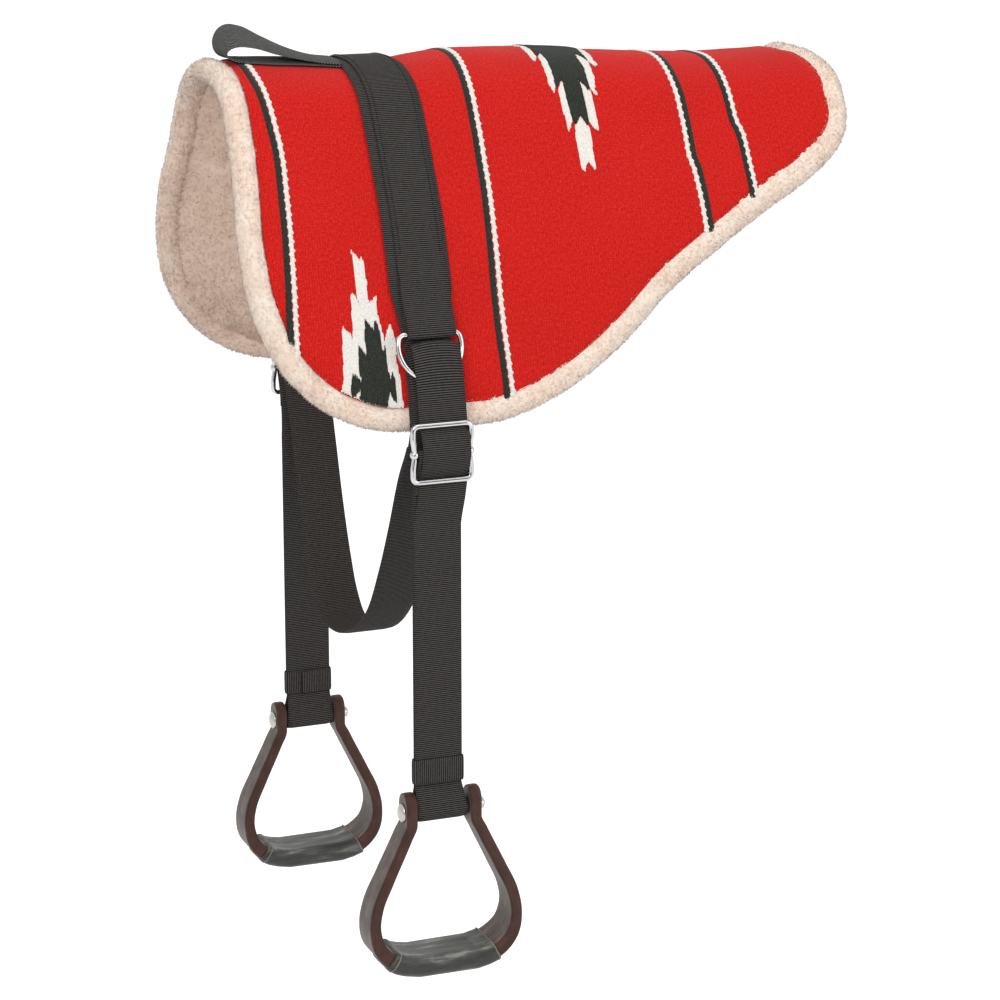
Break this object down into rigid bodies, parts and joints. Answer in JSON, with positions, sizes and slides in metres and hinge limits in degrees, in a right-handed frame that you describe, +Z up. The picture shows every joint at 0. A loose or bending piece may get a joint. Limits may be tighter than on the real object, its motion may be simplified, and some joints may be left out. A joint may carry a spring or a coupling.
{
  "type": "bareback pad",
  "caption": "Bareback riding pad for a horse: woven top, fleece lining and roll edge, webbing band with hand hold, and hanging stirrups on adjustable straps.",
  "frame": {"origin": "underside of the fleece at the spine, over the middle of the rigging strap", "axes": "+X toward the horse's tail, +Y toward its right (far) side, +Z up"},
  "size_m": [0.6738, 0.4706, 0.9624],
  "materials": {
    "blanket": "woven, red",
    "core": "pressed felt",
    "fleece": "deep pile, beige",
    "binding": "deep pile, cream",
    "webbing": "ribbed webbing, black",
    "handle": "ribbed webbing, dark grey",
    "wood": "stained, satin",
    "leather": "smooth, black",
    "chrome": "polished",
    "steel": "plated",
    "nickel": "nickel plated"
  },
  "bodies": {
    "pad": {"blanket_top": "blanket", "felt_core": "core", "fleece_lining": "fleece", "fleece_binding": "binding", "surcingle": "webbing", "girth_band": "webbing", "rigging_strap": "webbing", "hand_hold": "handle"},
    "near_ring_body": {"near_ring": "steel"},
    "near_strap_body": {"near_stirrup_strap": "webbing", "near_slide_frame": "chrome", "near_slide_bar": "chrome", "near_bolt_sleeve": "steel"},
    "near_keeper_body": {"near_strap_keeper": "webbing"},
    "near_stirrup_body": {"near_stirrup_frame": "wood", "near_tread_cover": "leather", "near_stirrup_bolt": "nickel", "near_bolt_nut": "nickel"},
    "far_ring_body": {"far_ring": "steel"},
    "far_strap_body": {"far_stirrup_strap": "webbing", "far_slide_frame": "chrome", "far_slide_bar": "chrome", "far_bolt_sleeve": "steel"},
    "far_keeper_body": {"far_strap_keeper": "webbing"},
    "far_stirrup_body": {"far_stirrup_frame": "wood", "far_tread_cover": "leather", "far_stirrup_bolt": "nickel", "far_bolt_nut": "nickel"}
  },
  "joints": [
    {"name": "near_ring_lift", "type": "hinge", "parent": "pad", "child": "near_ring_body", "pos_m": [0, -0.18937, -0.22048], "axis": [-1, 0, 0], "range_deg": [0, 95]},
    {"name": "near_strap_swing", "type": "hinge", "parent": "near_ring_body", "child": "near_strap_body", "pos_m": [-0.0022, -0.19276, -0.23251], "axis": [0, -0.9624, 0.2716], "range_deg": [-10, 10]},
    {"name": "near_keeper_slide", "type": "slide", "parent": "near_strap_body", "child": "near_keeper_body", "axis": [0, 0, 1], "range_m": [0, 0.22]},
    {"name": "near_stirrup_turn", "type": "hinge", "parent": "near_strap_body", "child": "near_stirrup_body", "pos_m": [0, -0.20793, -0.70048], "axis": [-1, 0, 0], "range_deg": [-100, 150]},
    {"name": "far_ring_lift", "type": "hinge", "parent": "pad", "child": "far_ring_body", "pos_m": [0, 0.18937, -0.22048], "axis": [1, 0, 0], "range_deg": [0, 95]},
    {"name": "far_strap_swing", "type": "hinge", "parent": "far_ring_body", "child": "far_strap_body", "pos_m": [-0.0022, 0.19276, -0.23251], "axis": [0, 0.9624, 0.2716], "range_deg": [-10, 10]},
    {"name": "far_keeper_slide", "type": "slide", "parent": "far_strap_body", "child": "far_keeper_body", "axis": [0, 0, 1], "range_m": [0, 0.22]},
    {"name": "far_stirrup_turn", "type": "hinge", "parent": "far_strap_body", "child": "far_stirrup_body", "pos_m": [0, 0.20793, -0.73248], "axis": [1, 0, 0], "range_deg": [-100, 150]}
  ]
}
